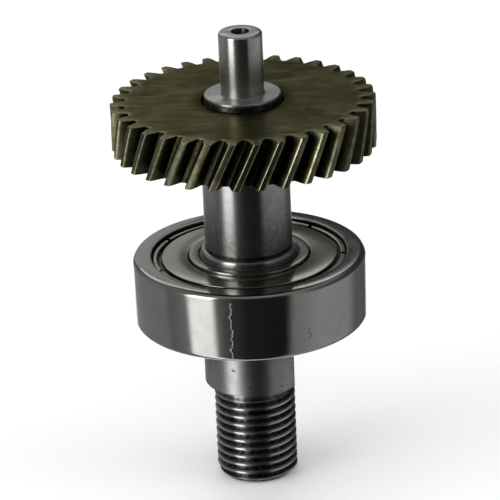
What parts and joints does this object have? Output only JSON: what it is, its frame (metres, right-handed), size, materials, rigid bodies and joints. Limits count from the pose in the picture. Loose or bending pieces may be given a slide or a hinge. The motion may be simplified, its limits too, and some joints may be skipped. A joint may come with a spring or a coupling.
{
  "type": "power tool output spindle",
  "caption": "Threaded output spindle carrying a pressed-on helical gear and a shielded deep-groove ball bearing.",
  "frame": {"origin": "centre of the ball bearing, on its axis and midway between its faces", "axes": "+Z along the spindle towards the gear and journal, +X out of the flat on the collar"},
  "size_m": [0.0448, 0.0448, 0.0809],
  "materials": {
    "ground_steel": "fine ground and turned, light handling marks",
    "oiled_gear_steel": "hardened and oiled, dark olive brown, worn edges",
    "ring_steel": "superfinished bearing steel",
    "shield_steel": "pressed sheet, satin",
    "cage_steel": "pressed sheet",
    "ball_steel": "polished",
    "rivet_steel": "headed wire"
  },
  "bodies": {
    "housing_side": {"outer_ring": "ring_steel", "upper_shield": "shield_steel", "lower_shield": "shield_steel"},
    "rotor": {"spindle": "ground_steel", "helical_gear": "oiled_gear_steel", "inner_ring": "ring_steel"},
    "cage": {"cage_upper": "cage_steel", "cage_lower": "cage_steel", "cage_rivets": "rivet_steel"},
    "ball_1": {"ball_1": "ball_steel"},
    "ball_2": {"ball_2": "ball_steel"},
    "ball_3": {"ball_3": "ball_steel"},
    "ball_4": {"ball_4": "ball_steel"},
    "ball_5": {"ball_5": "ball_steel"},
    "ball_6": {"ball_6": "ball_steel"},
    "ball_7": {"ball_7": "ball_steel"},
    "ball_8": {"ball_8": "ball_steel"}
  },
  "joints": [
    {"name": "spindle_spin", "type": "hinge", "parent": "housing_side", "child": "rotor", "pos_m": [0, 0, 0], "axis": [0, 0, 1], "continuous": true},
    {"name": "cage_spin", "type": "hinge", "parent": "housing_side", "child": "cage", "pos_m": [0, 0, 0], "axis": [0, 0, 1], "continuous": true},
    {"name": "ball_1_spin", "type": "hinge", "parent": "cage", "child": "ball_1", "pos_m": [0.01425, 0, 0], "axis": [0, 0, 1], "continuous": true},
    {"name": "ball_2_spin", "type": "hinge", "parent": "cage", "child": "ball_2", "pos_m": [0.01008, 0.01008, 0], "axis": [0, 0, 1], "continuous": true},
    {"name": "ball_3_spin", "type": "hinge", "parent": "cage", "child": "ball_3", "pos_m": [0, 0.01425, 0], "axis": [0, 0, 1], "continuous": true},
    {"name": "ball_4_spin", "type": "hinge", "parent": "cage", "child": "ball_4", "pos_m": [-0.01008, 0.01008, 0], "axis": [0, 0, 1], "continuous": true},
    {"name": "ball_5_spin", "type": "hinge", "parent": "cage", "child": "ball_5", "pos_m": [-0.01425, 0, 0], "axis": [0, 0, 1], "continuous": true},
    {"name": "ball_6_spin", "type": "hinge", "parent": "cage", "child": "ball_6", "pos_m": [-0.01008, -0.01008, 0], "axis": [0, 0, 1], "continuous": true},
    {"name": "ball_7_spin", "type": "hinge", "parent": "cage", "child": "ball_7", "pos_m": [0, -0.01425, 0], "axis": [0, 0, 1], "continuous": true},
    {"name": "ball_8_spin", "type": "hinge", "parent": "cage", "child": "ball_8", "pos_m": [0.01008, -0.01008, 0], "axis": [0, 0, 1], "continuous": true}
  ],
  "couplings": [
    {"joint": "cage_spin", "follows": "spindle_spin", "ratio": 0.38163},
    {"joint": "ball_1_spin", "follows": "spindle_spin", "ratio": -1.9937},
    {"joint": "ball_2_spin", "follows": "spindle_spin", "ratio": -1.9937},
    {"joint": "ball_3_spin", "follows": "spindle_spin", "ratio": -1.9937},
    {"joint": "ball_4_spin", "follows": "spindle_spin", "ratio": -1.9937},
    {"joint": "ball_5_spin", "follows": "spindle_spin", "ratio": -1.9937},
    {"joint": "ball_6_spin", "follows": "spindle_spin", "ratio": -1.9937},
    {"joint": "ball_7_spin", "follows": "spindle_spin", "ratio": -1.9937},
    {"joint": "ball_8_spin", "follows": "spindle_spin", "ratio": -1.9937}
  ]
}
